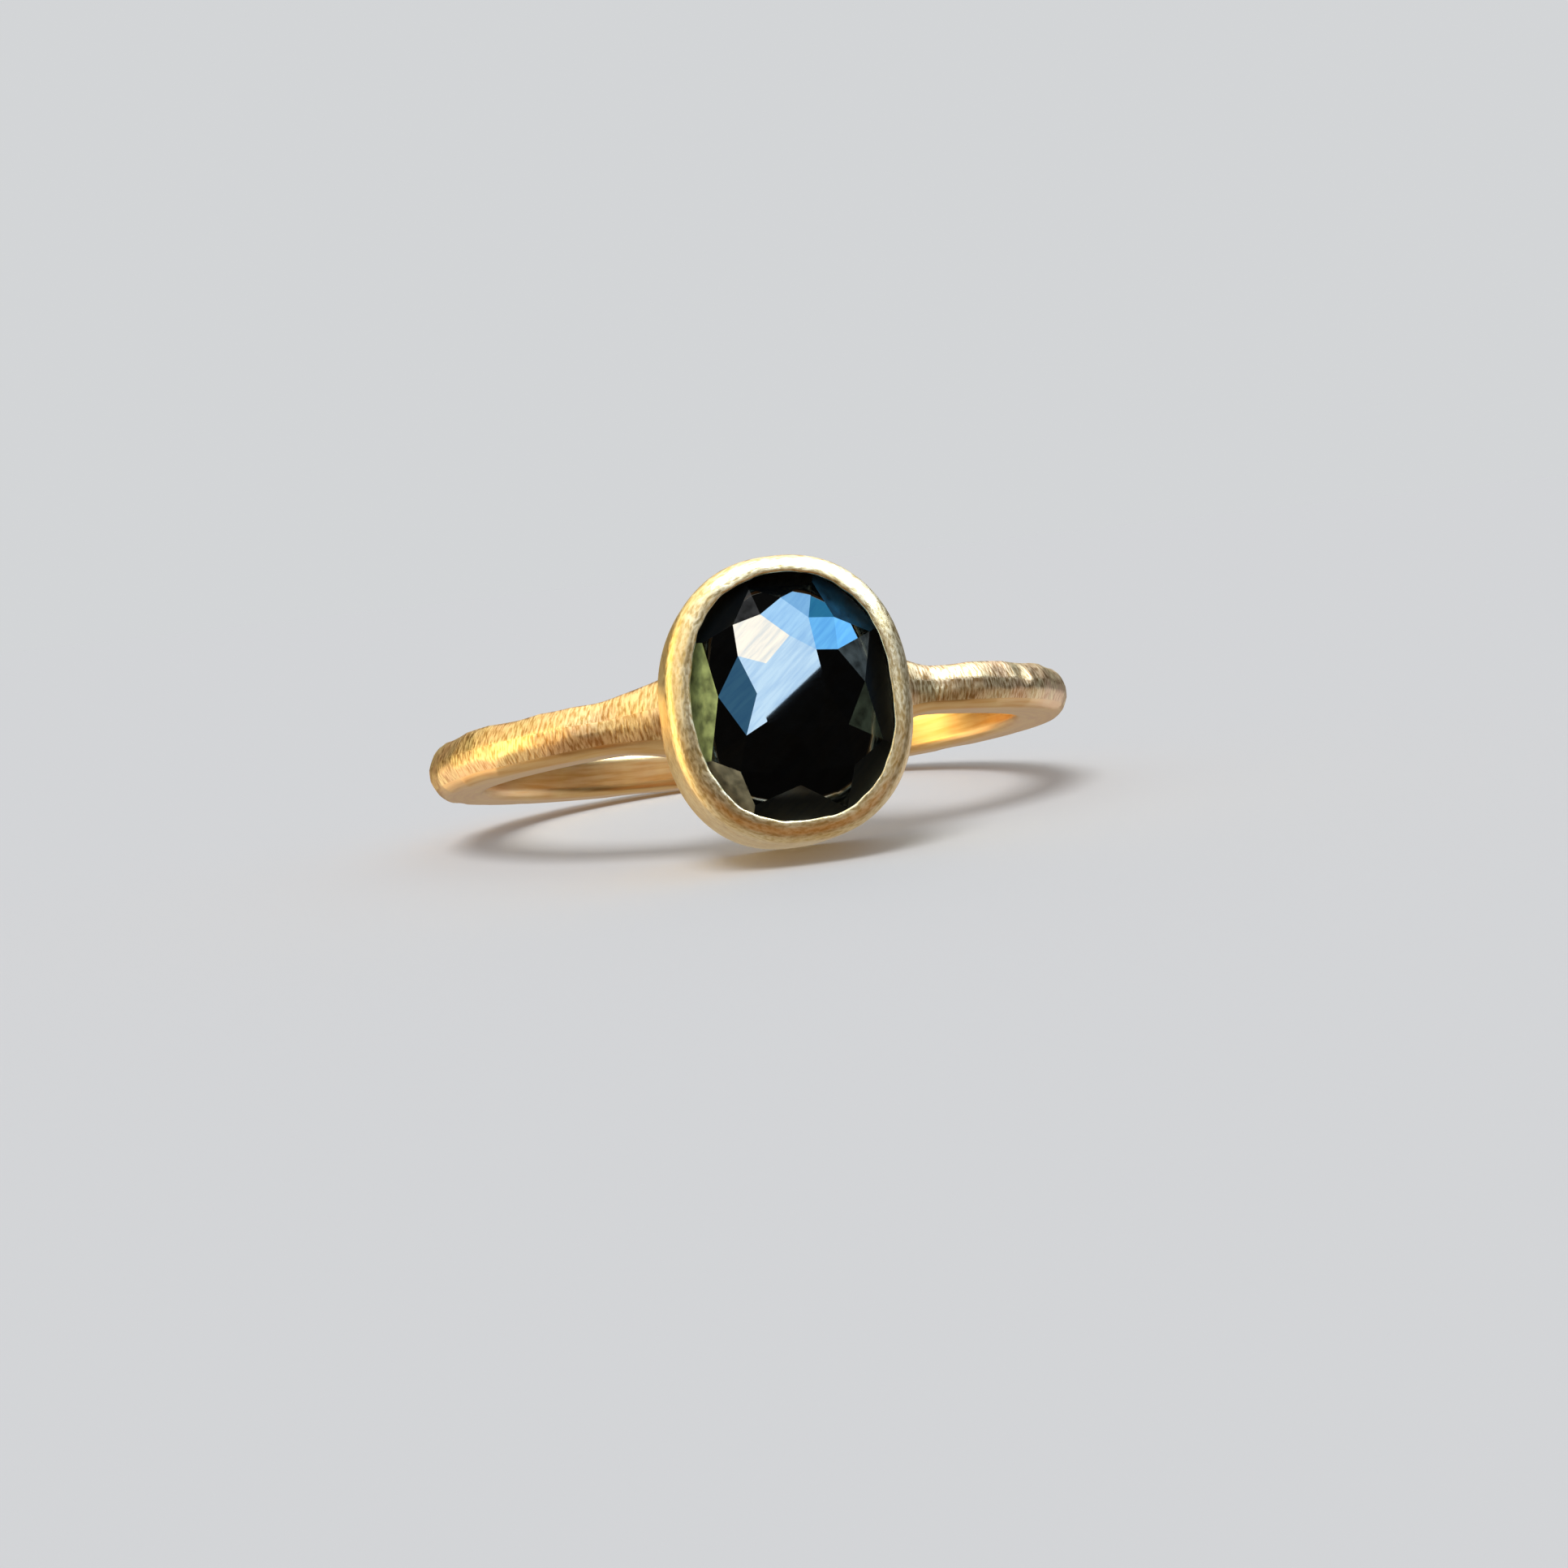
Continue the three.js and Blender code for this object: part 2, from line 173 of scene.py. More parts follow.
def gold(name, hues, groove_shade, mark, relief, dull, bright):
    """Yellow gold that was worked by hand and brushed.

    hues are its two tones and groove_shade the painted shade in the grooves of the brush marks, whose relief
    the bump gives. mark is the size of one mark along and across the surface's grain, which is its UV map,
    and relief its depth, all in mm. dull and bright are the roughness between the burnished spots and on
    them.
    """
    material, tree = new_material(name)
    grain = add(tree, "ShaderNodeUVMap", uv_map="grain").outputs["UV"]
    brushing = add(
        tree, "ShaderNodeMapping", {"Vector": grain, "Scale": (1 / mark[0], 1 / mark[1], 1)}
    ).outputs["Vector"]
    marks = add(tree, "ShaderNodeTexNoise", {"Vector": brushing, "Scale": 1, "Detail": 3}).outputs["Fac"]
    patches = add(tree, "ShaderNodeTexNoise", {"Vector": grain, "Scale": PATCHES_PER_MM, "Detail": 2})
    hue = add(tree, "ShaderNodeValToRGB", {"Fac": patches.outputs["Fac"]}, zip(HUE_TURNS, hues))
    # Painted shade in the brush marks' grooves, multiplied into the gold's tone.
    groove_shading = add(tree, "ShaderNodeValToRGB", {"Fac": marks}, zip(GROOVE_TURNS, (groove_shade, "#ffffff")))
    toned = add(
        tree,
        "ShaderNodeMix",
        {MIX_SHARE: 1, MIX_FIRST: hue.outputs["Color"], MIX_SECOND: groove_shading.outputs["Color"]},
        data_type="RGBA",
        blend_type="MULTIPLY",
    )
    worn = add(
        tree,
        "ShaderNodeMapRange",
        {
            "Value": marks,
            "From Min": WEAR_TURNS[0],
            "From Max": WEAR_TURNS[1],
            "To Min": bright,
            "To Max": dull,
        },
    )
    bump = add(tree, "ShaderNodeBump", {"Height": marks, "Strength": 1, "Distance": relief * MM})
    shader = add(
        tree,
        "ShaderNodeBsdfPrincipled",
        {
            "Base Color": toned.outputs[MIX_RESULT],
            "Roughness": worn.outputs["Result"],
            "Normal": bump.outputs["Normal"],
            "Metallic": 1,
        },
    )
    add(tree, "ShaderNodeOutputMaterial", {"Surface": shader.outputs["BSDF"]})
    return material


# Gold of the cup, filed, rolled over the stone and then brushed round the oval. The marks are really about
# 0.03 mm apart and are drawn about 0.08 mm apart so that they show: they give the eye a soft satin sheen.
BRUSHED_GOLD = gold(
    "brushed yellow gold",
    hues=("#f5e6be", "#e9d19c"),
    groove_shade="#e0d3b6",
    mark=(0.2, 0.075),
    relief=0.01,
    dull=0.48,
    bright=0.34,
)

# Gold of the shank's outer face, hammered and then brushed across: fine lines over soft flat dents. These
# marks too are about 0.03 mm apart and are drawn about 0.09 mm apart.
HAMMERED_GOLD = gold(
    "hammered and brushed gold",
    hues=("#f4e0ac", "#efcda0"),
    groove_shade="#cbb08a",
    mark=(0.085, 0.3),
    relief=0.011,
    dull=0.46,
    bright=0.32,
)

# Gold in the bore, on the inner half of the hoop's sides and on its lower bevel, polished by the finger: a
# clearer, warmer reflection, with long faint lines round the hoop that are drawn about 0.14 mm apart.
POLISHED_GOLD = gold(
    "polished gold of the bore",
    hues=("#e8c68a", "#e4bd84"),
    groove_shade="#f4e6d0",
    mark=(2.2, 0.14),
    relief=0.0012,
    dull=0.36,
    bright=0.28,
)

# The thin edge of the lip, cut bright against the stone, which shows as one uneven bright line.
BRIGHT_CUT_GOLD = gold(
    "bright-cut gold of the lip",
    hues=("#f6e4b8", "#f2dcac"),
    groove_shade="#cdb084",
    mark=(0.4, 0.1),
    relief=0.01,
    dull=0.24,
    bright=0.14,
)

# How the stone's facets mirror. Those at its girdle slope by this many degrees or more and are duller.
DIAMOND_IOR = 2.42
DIAMOND_SPECULAR = 0.17
FACET_ROUGHNESS = 0.015
GIRDLE_SLOPE = 48
GIRDLE_BLEND = 0.01
GIRDLE_ROUGHNESS = 0.3

# The lines of the polishing wheel: their turn in degrees, and the length and the breadth of one in mm.
WHEEL_TURN = -40
WHEEL_LINE = (0.9, 0.1)
SHEEN = [(0.3, "#dae5f3"), (0.62, "#ffffff")]

# The clouds in the stone's body, with their size in mm.
CLOUD_SIZE = 0.35
CLOUD_DEPTH = [(0.3, "#8a8a8a"), (0.7, "#ffffff")]

# The body's colour, and the facets that have a painted reflection of the gold lip and of the room in their
# colour: the slope and the turn of each in degrees, and its painted tone. A facet is known by how nearly its
# surface faces that way.
BODY = "#010101"
PAINTED_REFLECTION_FACETS = [
    (54, 177, "#76723f"),
    (59, -142, "#6e5e44"),
    (51, 42, "#0d2630"),
    (37, 13, "#2c2a26"),
    (36, -14, "#201f14"),
    (37, 117, "#241f1c"),
]
FACET_MATCH = (0.998, 0.999)


def facet_normal(slope, turn):
    """The way a facet faces as the ring lies: its slope from the table's, and its turn round the stone,
    counter-clockwise from the right as the stone is seen, in degrees."""
    s, t = math.radians(slope), math.radians(turn)
    return LYING @ np.array([math.sin(s) * math.cos(t), -math.cos(s), math.sin(s) * math.sin(t)])


def black_diamond():
    """Black diamond, rose cut and polished on a wheel: mirror facets over a nearly black body. The wheel
    leaves fine lines along one direction, which show as paler streaks where a facet mirrors a window. They
    are a few hundredths of a mm apart and are drawn 0.1 mm apart. The facets at the girdle are left as they
    were ground, so they are duller."""
    material, tree = new_material("rose-cut black diamond")
    place = add(tree, "ShaderNodeTexCoord")
    length, breadth = WHEEL_LINE
    along_wheel = add(
        tree,
        "ShaderNodeMapping",
        {
            "Vector": place.outputs["Object"],
            "Rotation": (0, math.radians(WHEEL_TURN), 0),
            "Scale": (length * MM, length * MM, breadth * MM),
        },
        vector_type="TEXTURE",
    )
    streaks = add(
        tree, "ShaderNodeTexNoise", {"Vector": along_wheel.outputs["Vector"], "Scale": 1, "Detail": 6}
    )
    sheen = add(tree, "ShaderNodeValToRGB", {"Fac": streaks.outputs["Fac"]}, SHEEN)
    clouds = add(
        tree,
        "ShaderNodeTexNoise",
        {"Vector": place.outputs["Object"], "Scale": 1 / (CLOUD_SIZE * MM), "Detail": 3},
    )
    depth = add(tree, "ShaderNodeValToRGB", {"Fac": clouds.outputs["Fac"]}, CLOUD_DEPTH)
    body = linear(BODY)
    # Painted reflections of the gold lip and of the room, mixed into the body's colour one facet at a time.
    for slope, turn, tone in PAINTED_REFLECTION_FACETS:
        facing = add(
            tree,
            "ShaderNodeVectorMath",
            {0: place.outputs["Normal"], 1: facet_normal(slope, turn)},
            operation="DOT_PRODUCT",
        )
        near = add(
            tree,
            "ShaderNodeMapRange",
            {"Value": facing.outputs["Value"], "From Min": FACET_MATCH[0], "From Max": FACET_MATCH[1]},
        )
        painted_reflection = add(
            tree,
            "ShaderNodeMix",
            {MIX_SHARE: near.outputs["Result"], MIX_FIRST: body, MIX_SECOND: linear(tone)},
            data_type="RGBA",
        )
        body = painted_reflection.outputs[MIX_RESULT]
    shaded = add(
        tree,
        "ShaderNodeMix",
        {MIX_SHARE: 1, MIX_FIRST: body, MIX_SECOND: depth.outputs["Color"]},
        data_type="RGBA",
        blend_type="MULTIPLY",
    )
    front = add(
        tree,
        "ShaderNodeVectorMath",
        {0: place.outputs["Normal"], 1: facet_normal(0, 0)},
        operation="DOT_PRODUCT",
    )
    girdle = math.cos(math.radians(GIRDLE_SLOPE))
    ground = add(
        tree,
        "ShaderNodeMapRange",
        {
            "Value": front.outputs["Value"],
            "From Min": girdle - GIRDLE_BLEND,
            "From Max": girdle + GIRDLE_BLEND,
            "To Min": GIRDLE_ROUGHNESS,
            "To Max": FACET_ROUGHNESS,
        },
    )
    shader = add(
        tree,
        "ShaderNodeBsdfPrincipled",
        {
            "Base Color": shaded.outputs[MIX_RESULT],
            "Specular Tint": sheen.outputs["Color"],
            "Roughness": ground.outputs["Result"],
            "IOR": DIAMOND_IOR,
            "Specular IOR Level": DIAMOND_SPECULAR,
        },
    )
    add(tree, "ShaderNodeOutputMaterial", {"Surface": shader.outputs["BSDF"]})
    return material


BLACK_DIAMOND = black_diamond()


def floor_paper():
    """Pale studio paper, matte."""
    material, tree = new_material("pale studio paper")
    shader = add(
        tree,
        "ShaderNodeBsdfPrincipled",
        {"Base Color": linear("#e2e3e5"), "Roughness": 0.9, "Specular IOR Level": 0},
    )
    add(tree, "ShaderNodeOutputMaterial", {"Surface": shader.outputs["BSDF"]})
    return material


# Meshes from loops of points


def bell(places):
    """Weights that fall off from place 0 to both sides like a bell, and add up to 1."""
    weights = np.exp(-0.5 * places**2)
    return weights / weights.sum()


def grid_piece(name, grid, uv, materials, choose):
    """A closed piece from loops of as many points each. grid[i, j] is point j of loop i, and uv[i, j] its
    grain.

    choose(i, j) gives the material of the quad between loops i and i + 1 and points j and j + 1. The flat
    ends have a straight grain along the finger.
    """
    loops, around = grid.shape[:2]
    points = lay(grid.reshape(-1, 3))
    faces, slots, corners = [], [], []
    for i in range(loops - 1):
        for j in range(around):
            k = (j + 1) % around
            faces.append((i * around + j, i * around + k, (i + 1) * around + k, (i + 1) * around + j))
            slots.append(choose(i, j))
            corners += [uv[i, j], uv[i, j + 1], uv[i + 1, j + 1], uv[i + 1, j]]
    for loop, order in ((0, -1), (loops - 1, 1)):
        faces.append(tuple(loop * around + j for j in range(around))[::order])
        slots.append(choose(min(loop, loops - 2), 0))
        corners += [grid[loop, j, ::2] for j in range(around)][::order]
    mesh = bpy.data.meshes.new(name)
    mesh.from_pydata([tuple(p) for p in points], [], faces)
    layer = mesh.uv_layers.new(name="grain")
    layer.data.foreach_set("uv", np.array(corners, dtype=np.float32).ravel())
    mesh.polygons.foreach_set("material_index", slots)
    mesh.polygons.foreach_set("use_smooth", [True] * len(faces))
    for material in materials:
        mesh.materials.append(material)
    mesh.validate()
    mesh.update()
    piece = bpy.data.objects.new(name, mesh)
    bpy.context.collection.objects.link(piece)
    return piece


# The shank: points round its section, mm from one section to the next, the mm over which its corners are
# softened, and how much finer that is worked out

SHANK_POINTS = 64
SHANK_STEP = 0.055
SHANK_SOFTNESS = 0.045
SECTION_FINENESS = 16

# Its width and thickness from the left joint round to the right one, as shares of its sizes, and how many
# sections a change is eased over: out to the ends of the bell, and to its shoulders.
SHANK_ALONG = [0, 0.06, 0.17, 0.34, 0.5, 0.68, 0.86, 0.93, 0.97, 1]
SHANK_WIDTHS = [0.98, 1.03, 1.07, 1.02, 0.97, 0.97, 0.93, 0.93, 0.87, 0.9]
SHANK_THICKNESSES = [0.97, 1, 1.03, 1, 0.97, 1, 1.04, 1, 0.93, 0.95]
EASE_ENDS = 60
EASE_SHOULDERS = 20

# Rows of hammer facets: mm across from the middle of the outer face, mm from one facet to the next, depth.
HAMMER_ROWS = [(0.1, 1.9, 0.05), (0.62, 2.0, 0.045), (-0.35, 2.6, 0.035)]
HAMMER_SEED = 11

# How unevenly they fell: shares of a step along, mm across, and shares of the depth.
HAMMER_STRAY = (0.3, 0.2)
HAMMER_DEPTHS = (0.6, 1.3)

# How many mm along a facet reaches at most, how much it curves and how far it may tilt, along and across,
# and how sharply two of them meet.
HAMMER_REACH = 3.0
FACET_CURVE = (0.045, 0.14)
FACET_TILT = (0.085, 0.06)
FACET_SHARPNESS = 5

# Rounder dents near the right joint: mm from the joint, mm across from the middle, depth and radius.
DENTS = [(5.3, 0.36, 0.1, 0.5), (4.3, 0.3, 0.04, 0.6), (6.3, 0.1, 0.05, 0.6), (1.5, 0.1, 0.05, 0.6)]
DENT_ROUNDNESS = 1.5

# The share of the thickness beyond which the hammer marks the section, the mm away at which the rest of it
# counts, and how strongly the middle of the outer face keeps to the middle of the section.
OUTER_HALF = 0.5
UNHAMMERED = 9
MIDDLE_PULL = 4

# The solder fillets: how far they reach along each arm from the cup's wall, longer on the left, how much the
# arm swells at the wall, how steeply it does, and the share of a hammer mark that the solder fills there.
SOLDER_REACH = {"left": 1.9, "right": 1.25}
SOLDER_FLARE = 0.34
SOLDER_CURVE = 1.7
SOLDER_FILL = 0.7


def shank_corners():
    """The section as [out from the bore, along the finger], counter-clockwise."""
    half = SHANK_WIDTH / 2
    face = half - SHANK_BEVEL
    foot = SHANK_THICKNESS - BEVEL_DEPTH
    upper = [
        [SHANK_THICKNESS + SHANK_CROWN, face / 2],
        [SHANK_THICKNESS, face],
        [SHANK_THICKNESS - BEVEL_DEPTH / 2 + BEVEL_SWELL, face + SHANK_BEVEL / 2 + BEVEL_SWELL],
        [foot, half],
        [SHANK_EDGE, half],
        [SHANK_EDGE * (1 - math.sqrt(0.5)), half - SHANK_EDGE * (1 - math.sqrt(0.5))],
        [0, half - SHANK_EDGE],
    ]
    return upper + [[out, -along] for out, along in upper[::-1]]


def rounded_outline(corners, count, softness):
    """A closed outline of count points with its corners softened, from a few corners, and its length."""
    corners = np.array(corners + corners[:1], dtype=float)
    lengths = np.concatenate([[0], np.cumsum(np.linalg.norm(np.diff(corners, axis=0), axis=1))])
    fine = SECTION_FINENESS * count
    at = np.linspace(0, lengths[-1], fine, endpoint=False)
    outline = [np.interp(at, lengths, corners[:, k]) for k in range(2)]
    offsets = np.arange(fine)
    weights = np.fft.fft(bell(np.minimum(offsets, fine - offsets) / (softness * fine / lengths[-1])))
    soft = np.column_stack([np.fft.ifft(np.fft.fft(values) * weights).real for values in outline])
    return soft[::SECTION_FINENESS], lengths[-1]


def outward(outline):
    """Unit normals of a counter-clockwise closed outline."""
    along = np.roll(outline, -1, axis=0) - np.roll(outline, 1, axis=0)
    normals = np.column_stack([along[:, 1], -along[:, 0]])
    return normals / np.linalg.norm(normals, axis=1, keepdims=True)


def hammer_marks(length):
    """Flat facets in three rows, on the outer face, its upper bevel and its lower edge: place along and
    across, depth, and slopes along and across."""
    dice = np.random.default_rng(HAMMER_SEED)
    stray_along, stray_across = HAMMER_STRAY
    marks = []
    for across, spacing, depth in HAMMER_ROWS:
        count = round(length / spacing)
        for i in range(count + 1):
            at = (i + dice.uniform(-stray_along, stray_along)) * length / count
            slopes = [dice.uniform(-most, most) for most in FACET_TILT]
            side = across + dice.uniform(-stray_across, stray_across)
            marks.append((at, side, depth * dice.uniform(*HAMMER_DEPTHS), *slopes))
    return marks


def hammered(along, girth, length):
    """Depth that the hammer left at places along the hoop and across its outer face, both in mm."""
    deep = np.zeros(np.broadcast(along, girth).shape)
    for at, across, depth, slope_along, slope_across in hammer_marks(length):
        x, y = along - at, girth - across
        level = depth - FACET_CURVE[0] * x**2 - FACET_CURVE[1] * y**2 + slope_along * x + slope_across * y
        near = np.abs(x) < HAMMER_REACH
        deep += np.where(near, np.clip(level, 0, None), 0) ** FACET_SHARPNESS
    deep = deep ** (1 / FACET_SHARPNESS)
    for from_joint, across, depth, radius in DENTS:
        away = ((along - length + from_joint) ** 2 + (girth - across) ** 2) / radius**2
        deep += depth * np.clip(1 - away, 0, None) ** DENT_ROUNDNESS
    return deep


def shank_piece():
    section, girth_length = rounded_outline(shank_corners(), SHANK_POINTS, SHANK_SOFTNESS)
    normals = outward(section)
    outer = BORE_RADIUS + SHANK_THICKNESS
    wall_turn = math.asin(CUP_HALF_WIDTH / outer)
    end_turn = math.asin((CUP_HALF_WIDTH - CUP_WALL / 2) / outer)
    length = 2 * (math.pi - wall_turn) * outer
    open_turns = np.linspace(wall_turn, 2 * math.pi - wall_turn, round(length / SHANK_STEP))
    turns = np.concatenate([[end_turn], open_turns, [2 * math.pi - end_turn]])
    along = np.clip((turns - wall_turn) / (2 * (math.pi - wall_turn)), 0, 1)
    ease = bell(np.arange(-EASE_ENDS, EASE_ENDS + 1) / EASE_SHOULDERS)
    widths, thicknesses = (
        np.convolve(np.pad(np.interp(along, SHANK_ALONG, shares), EASE_ENDS, "edge"), ease, "valid")
        for shares in (SHANK_WIDTHS, SHANK_THICKNESSES)
    )

    # Places across the section count from the middle of the outer face.
    middle = int(np.argmax(section[:, 0] - MIDDLE_PULL * np.abs(section[:, 1])))
    steps = (np.arange(SHANK_POINTS) - middle + SHANK_POINTS // 2) % SHANK_POINTS - SHANK_POINTS // 2
    girth = steps * girth_length / SHANK_POINTS
    outer_half = OUTER_HALF * SHANK_THICKNESS
    girth = np.where(section[:, 0] > outer_half, girth, np.sign(girth) * UNHAMMERED)

    out = section[None, :, 0] * thicknesses[:, None]
    across = section[None, :, 1] * widths[:, None]
    deep = hammered((along * length)[:, None], girth[None, :], length)
    angle = -turns[:, None]

    # The solder fillet: near the cup's wall the section swells, most at the wall itself.
    wall = CUP_HALF_WIDTH * (1 - np.abs(across / CUP_HALF_HEIGHT) ** CUP_SQUARENESS) ** (1 / CUP_SQUARENESS)
    reach = np.where(np.sin(angle) < 0, SOLDER_REACH["left"], SOLDER_REACH["right"])
    gap = (np.abs((BORE_RADIUS + out) * np.sin(angle)) - wall) / reach
    front = np.cos(angle) > 0
    rise = np.clip(1 - np.clip(gap, 0, 1), 0, 1)
    flare = SOLDER_FLARE * rise**SOLDER_CURVE * front
    swell = flare * np.clip(section[None, :, 0] / outer_half, 0, 1)
    move = swell - deep * (1 - SOLDER_FILL * rise * front)
    out = out + normals[None, :, 0] * move
    across = across + normals[None, :, 1] * move

    radius = BORE_RADIUS + out
    grid = np.stack([radius * np.sin(angle), -radius * np.cos(angle), across], axis=-1)
    around = np.arange(SHANK_POINTS + 1) * girth_length / SHANK_POINTS
    uv = np.stack(np.broadcast_arrays((along * length)[:, None], around[None, :]), axis=-1)
    lower_bevel = section[:, 1] < SHANK_BEVEL / 2 - SHANK_WIDTH / 2
    polished = (section[:, 0] < outer_half) | lower_bevel
    return grid_piece("shank", grid, uv, [HAMMERED_GOLD, POLISHED_GOLD], lambda i, j: int(polished[j]))


# The bezel cup: points round its oval, mm from one loop to the next, points along the shoulder, and how much
# finer the oval is measured

CUP_POINTS = 420
CUP_STEP = 0.06
SHOULDER_POINTS = 24
OVAL_FINENESS = 40

# The narrow edge where the rim turns down to the stone: its width in mm, and the share of it by which its
# corner is broken.
RIM_EDGE = 0.05
RIM_BREAK = 0.3

# Where the maker rolled the lip wider or narrower: degrees round the oval from the right, counter-clockwise
# as the stone is seen, and mm more or less.
LIP_TURNS = [0, 45, 90, 120, 150, 180, 225, 270, 315, 360]
LIP_EXTRA = [0.0, 0.0, -0.03, 0.02, 0.05, 0.02, 0.0, 0.0, 0.0, 0.0]

# The hand-rolled waves in the lip's width and in the rim's height: mm, waves round the oval, and their start.
LIP_WAVES = [(0.012, 7, 1), (0.01, 13, 2.2), (0.006, 29, 0)]
RIM_WAVE = (0.012, 11, 0.7)

# How many mm the cup's wall swells, from its left side to its right one, and how full the swelling is.
CUP_BELLY = ((-1, -0.6, 0.6, 1), (0.17, 0.05, 0, 0.07))
BELLY_FULLNESS = 0.7


def oval(half_width, half_height, turns):
    c, s = np.cos(turns), np.sin(turns)
    power = 2 / CUP_SQUARENESS
    return np.sign(c) * half_width * np.abs(c) ** power, np.sign(s) * half_height * np.abs(s) ** power


def cup_profile():
    """[inset from the outer wall, level, share of the lip's unevenness], from the back round to the floor."""
    shoulder = [
        [
            (LIP_INSET - RIM_EDGE) * (1 - math.cos(t)),
            RIM_LEVEL - SHOULDER * (1 - math.sin(t)),
            math.sin(t) ** 2,
        ]
        for t in np.linspace(0, math.pi / 2, SHOULDER_POINTS)
    ]
    corners = [
        [BACK_EDGE, BACK_LEVEL, 0],
        [0, BACK_LEVEL + BACK_EDGE, 0],
        *shoulder,
        [LIP_INSET - RIM_BREAK * RIM_EDGE, RIM_LEVEL - RIM_BREAK * RIM_EDGE, 1],
        [LIP_INSET, RIM_LEVEL - RIM_EDGE, 1],
        [LIP_INSET, RIM_LEVEL - LIP_EDGE, 1],
        [CUP_WALL, LIP_ROOT_LEVEL, 0],
        [CUP_WALL, SEAT_LEVEL, 0],
        [SEAT_INSET, SEAT_LEVEL, 0],
        [SEAT_INSET, BACK_LEVEL + BACK_PLATE, 0],
    ]
    fine = [corners[0]]
    for start, stop in zip(corners, corners[1:]):
        hidden = stop[0] >= CUP_WALL and stop[1] <= LIP_ROOT_LEVEL
        steps = 1 if hidden else max(1, round(math.dist(start[:2], stop[:2]) / CUP_STEP))
        fine += [[a + (b - a) * k / steps for a, b in zip(start, stop)] for k in range(1, steps + 1)]
    return np.array(fine)


def cup_piece():
    profile = cup_profile()
    # Equal steps along the oval, so that the brush marks keep one length all the way round.
    dense = np.linspace(0, 2 * math.pi, OVAL_FINENESS * CUP_POINTS + 1)
    x, z = oval(CUP_HALF_WIDTH, CUP_HALF_HEIGHT, dense)
    run = np.concatenate([[0], np.cumsum(np.hypot(np.diff(x), np.diff(z)))])
    length = run[-1]
    turns = np.interp(np.linspace(0, length, CUP_POINTS + 1), run, dense)[:-1]
    lip = np.interp(np.degrees(turns), LIP_TURNS, LIP_EXTRA)
    wobble = sum(size * np.sin(waves * turns + start) for size, waves, start in LIP_WAVES)
    # The wall swells a little at the two sides, where it was soldered to the arms.
    height = np.clip((profile[:, 1:2] - BACK_LEVEL) / (RIM_LEVEL - BACK_LEVEL), 0, 1)
    outside = np.arange(len(profile))[:, None] <= np.argmax(profile[:, 1])
    sides = np.interp(np.cos(turns), *CUP_BELLY)[None, :]
    belly = outside * np.sin(math.pi * height) ** BELLY_FULLNESS * sides
    inset = profile[:, :1] + profile[:, 2:] * (lip + wobble)[None, :] - belly
    size, waves, start = RIM_WAVE
    level = profile[:, 1:2] - size * profile[:, 2:] * np.sin(waves * turns + start)[None, :]
    across, along = oval(CUP_HALF_WIDTH - inset, CUP_HALF_HEIGHT - inset, turns[None, :])
    grid = np.stack([across, np.broadcast_to(-level, across.shape), along - SETTING_DROP], axis=-1)
    depth = np.concatenate([[0], np.cumsum(np.linalg.norm(np.diff(profile[:, :2], axis=0), axis=1))])
    around = np.arange(CUP_POINTS + 1) * length / CUP_POINTS
    uv = np.stack(np.broadcast_arrays(around[None, :], depth[:, None]), axis=-1)
    lip_edge = (profile[:-1, 0] >= LIP_INSET - RIM_EDGE) & (profile[:-1, 1] > LIP_ROOT_LEVEL)
    return grid_piece("bezel_cup", grid, uv, [BRUSHED_GOLD, BRIGHT_CUT_GOLD], lambda i, j: int(lip_edge[i]))


gold_pieces = [shank_piece(), cup_piece()]
for piece in gold_pieces:
    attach(piece, "root")
    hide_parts("shank_and_bezel")

stone = frame["nodes"]["diamond"]
for slot in stone.material_slots:
    slot.material = BLACK_DIAMOND


# Studio: a floor, soft panels placed by compass and height as seen from the stone, daylight and a dim room

FLOOR_RADIUS = 3.0
FLOOR_SIDES = 96
STONE_PLACE = Vector(lay([0, -RIM_LEVEL, -SETTING_DROP]))

# A panel's name, degrees to the right of the ring's front, degrees up, metres away, width and height in
# metres, turn about its own axis in degrees, colour and radiance. These are what the facets of the stone
# mirror: windows and sky, bright at the left and above and dark in front. The lower right edge of the tall
# window crosses the stone's table as a slanting line.
STONE_PANELS = [
    ("tall window", -14.83, 21.92, 0.4, 0.425, 0.245, 39.41, "#c4e2f8", 17),
    ("cream blind", -31.33, 46.01, 0.4, 0.15, 0.12, 53.55, "#fdf5e5", 18.5),
    ("sky past the top", 30, 52, 0.4, 0.17, 0.26, -30, "#aad7fa", 16),
    ("sky at the right", 70, 33, 0.4, 0.3, 0.14, 0, "#6dbdf8", 15.5),
    ("high sky", 92, 66, 0.4, 0.1, 0.07, 0, "#86c0f0", 12),
    ("evening sky", 94, 57, 0.4, 0.1, 0.05, 0, "#3490c0", 8),
    ("blue wall", -57, 16, 0.4, 0.12, 0.12, 0, "#4d86ab", 7),
]

